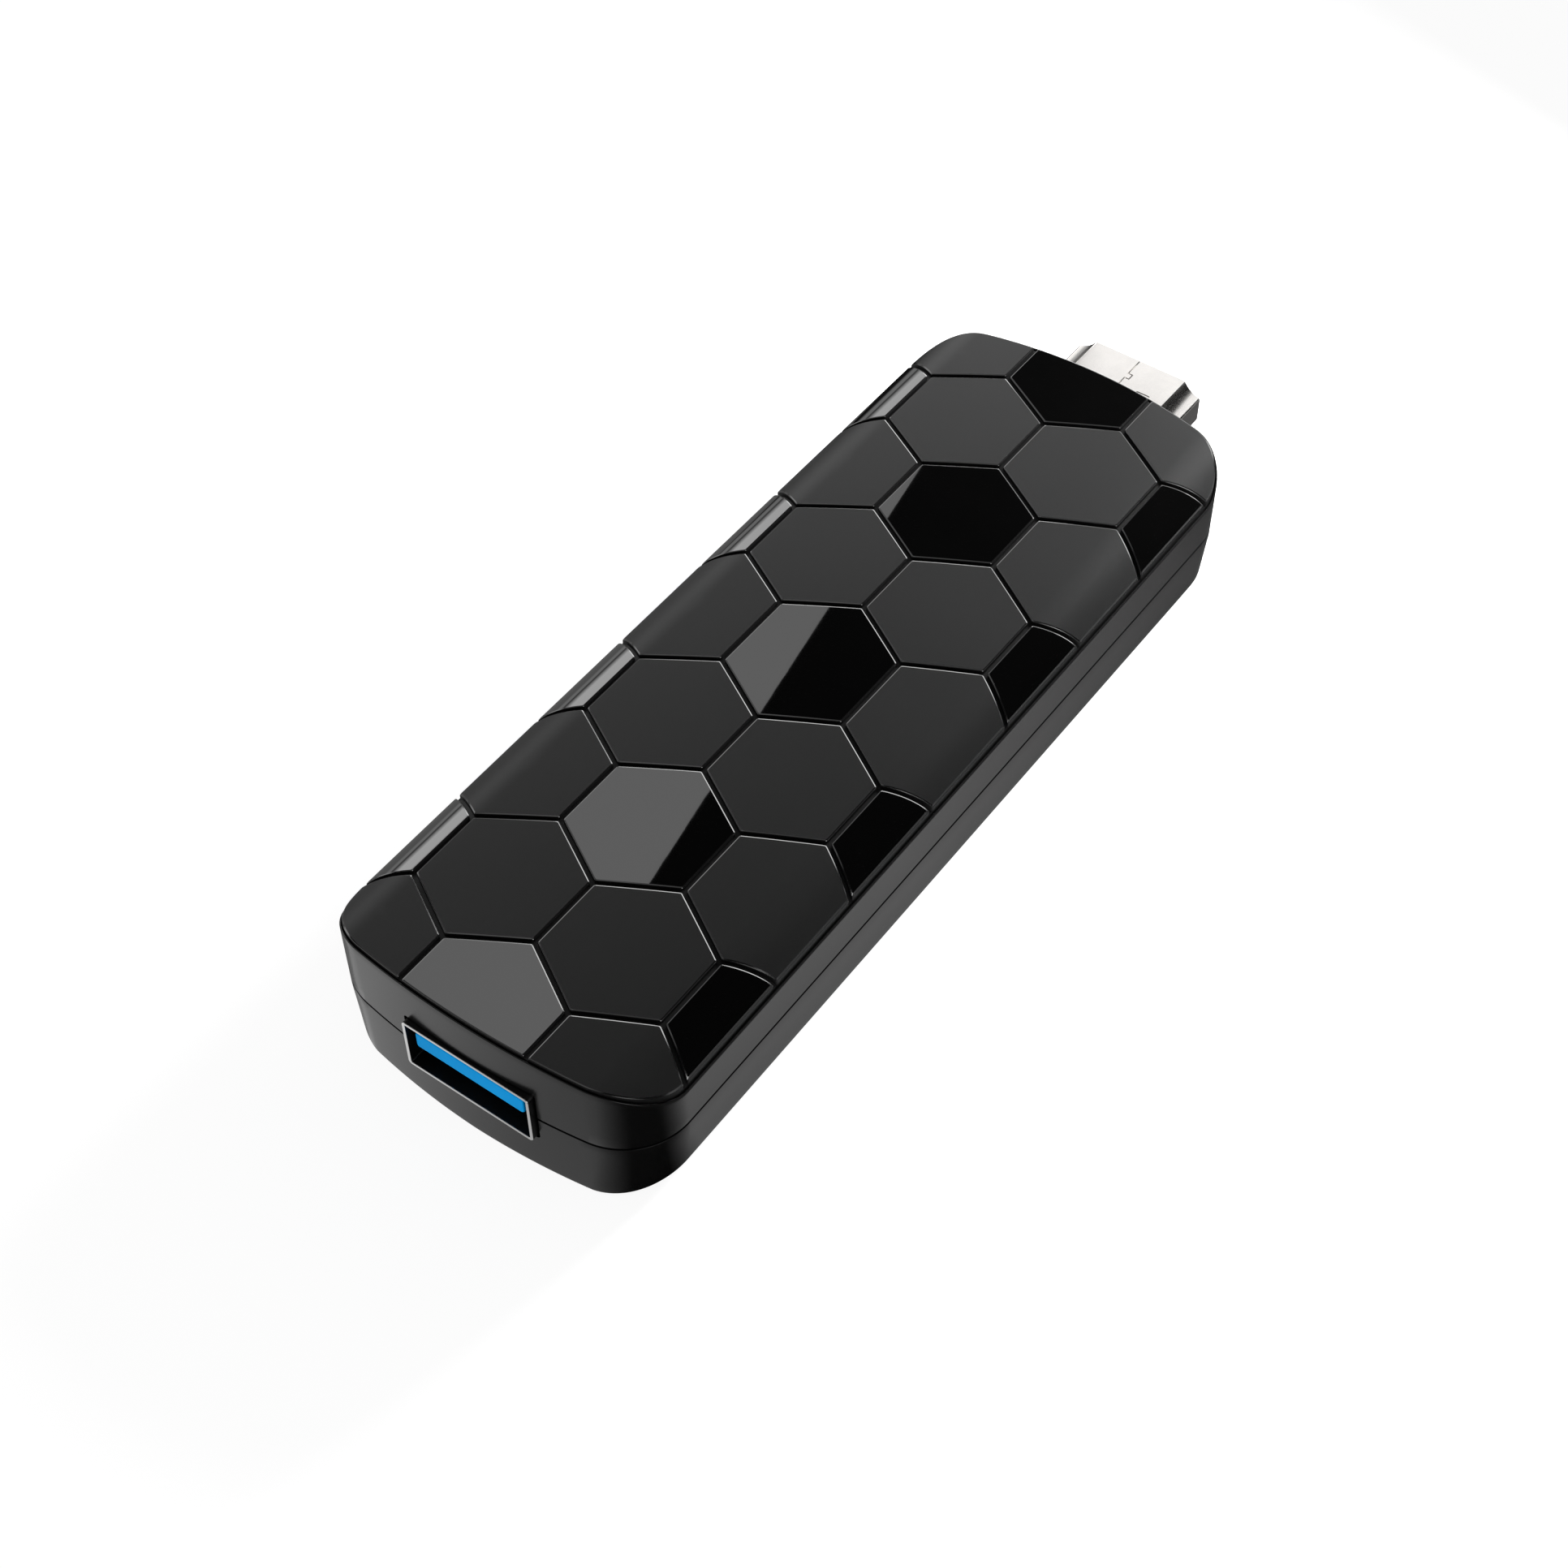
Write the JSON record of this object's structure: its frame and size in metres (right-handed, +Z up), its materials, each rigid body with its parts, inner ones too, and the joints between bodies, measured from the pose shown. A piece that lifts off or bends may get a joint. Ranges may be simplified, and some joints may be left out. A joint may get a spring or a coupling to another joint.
{
  "type": "streaming stick",
  "caption": "Slim media player stick with a crowned honeycomb cover, a video plug at one end, a blue-tongued USB port at the other, and a power socket, card slot and reset button in one side.",
  "frame": {"origin": "middle of the flat underside", "axes": "+Y towards the video plug, +Z up out of the honeycomb cover, +X towards the plain long side"},
  "size_m": [0.0341, 0.1019, 0.0155],
  "materials": {
    "cover_satin": "satin and glossy tiles",
    "housing_plastic": "fine satin grain",
    "grip_rubber": "moulded",
    "board_green": "solder mask",
    "screw_steel": "plated",
    "plug_metal": "plated",
    "plug_insulator": "moulded",
    "contact_gold": "gold plated",
    "port_metal": "stamped",
    "tongue_blue": "moulded",
    "socket_black": "moulded",
    "plunger_white": "moulded",
    "button_black": "satin",
    "chip_black": "moulded package",
    "pad_rubber": "soft pad",
    "sink_aluminium": "extruded",
    "ferrite_grey": "pressed ferrite",
    "ceramic_tan": "fired ceramic",
    "can_metal": "plated",
    "module_blue": "solder mask"
  },
  "bodies": {
    "stick": {"top_cover": "cover_satin", "upper_housing": "housing_plastic", "lower_housing": "housing_plastic", "grip_pads": "grip_rubber", "circuit_board": "board_green", "board_screws": "screw_steel", "hdmi_shell": "plug_metal", "hdmi_core": "plug_insulator", "hdmi_contacts": "contact_gold", "usb_shell": "port_metal", "usb_tongue": "tongue_blue", "usb_contacts": "contact_gold", "power_shell": "port_metal", "power_tongue": "socket_black", "power_contacts": "contact_gold", "card_socket": "socket_black", "card_cover": "port_metal", "card_contacts": "contact_gold", "switch_body": "socket_black", "processor": "chip_black", "thermal_pad": "pad_rubber", "heat_sink": "sink_aluminium", "memory_chips": "chip_black", "flash_chip": "chip_black", "power_regulator": "chip_black", "inductors": "ferrite_grey", "capacitors": "ceramic_tan", "crystal": "can_metal", "wireless_module": "module_blue", "wireless_shield": "can_metal", "antenna": "can_metal", "antenna_feed": "chip_black"},
    "button": {"reset_button": "button_black", "switch_plunger": "plunger_white"}
  },
  "joints": [
    {"name": "reset_press", "type": "slide", "parent": "stick", "child": "button", "axis": [1, 0, 0], "range_m": [0, 0.00025], "stiffness_N_per_m": 1000, "springref_m": -0.0002}
  ]
}
